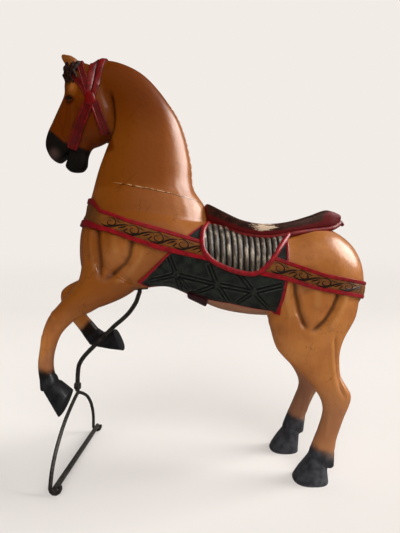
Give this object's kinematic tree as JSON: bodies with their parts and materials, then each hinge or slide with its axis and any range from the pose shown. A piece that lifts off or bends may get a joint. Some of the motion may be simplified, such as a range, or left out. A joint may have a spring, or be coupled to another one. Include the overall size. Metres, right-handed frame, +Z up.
{
  "type": "carousel horse",
  "caption": "Rearing carved wooden carousel horse in painted tack, with fluted saddle flaps, propped by a bent iron rod with a stirrup-shaped foot.",
  "frame": {"origin": "bottom centre of the box round the horse and its stand, on the floor", "axes": "the horse faces -X, its left side is -Y and +Z is up"},
  "size_m": [0.9424, 0.426, 1.2079],
  "materials": {
    "painted_wood": "varnished orange-brown paint with red, silver and green-black tack",
    "wrought_iron": "matt black"
  },
  "bodies": {
    "root": {"horse": "painted_wood", "prop_rod": "wrought_iron", "prop_collar": "wrought_iron", "prop_fork": "wrought_iron", "foot_bar": "wrought_iron"}
  },
  "joints": []
}
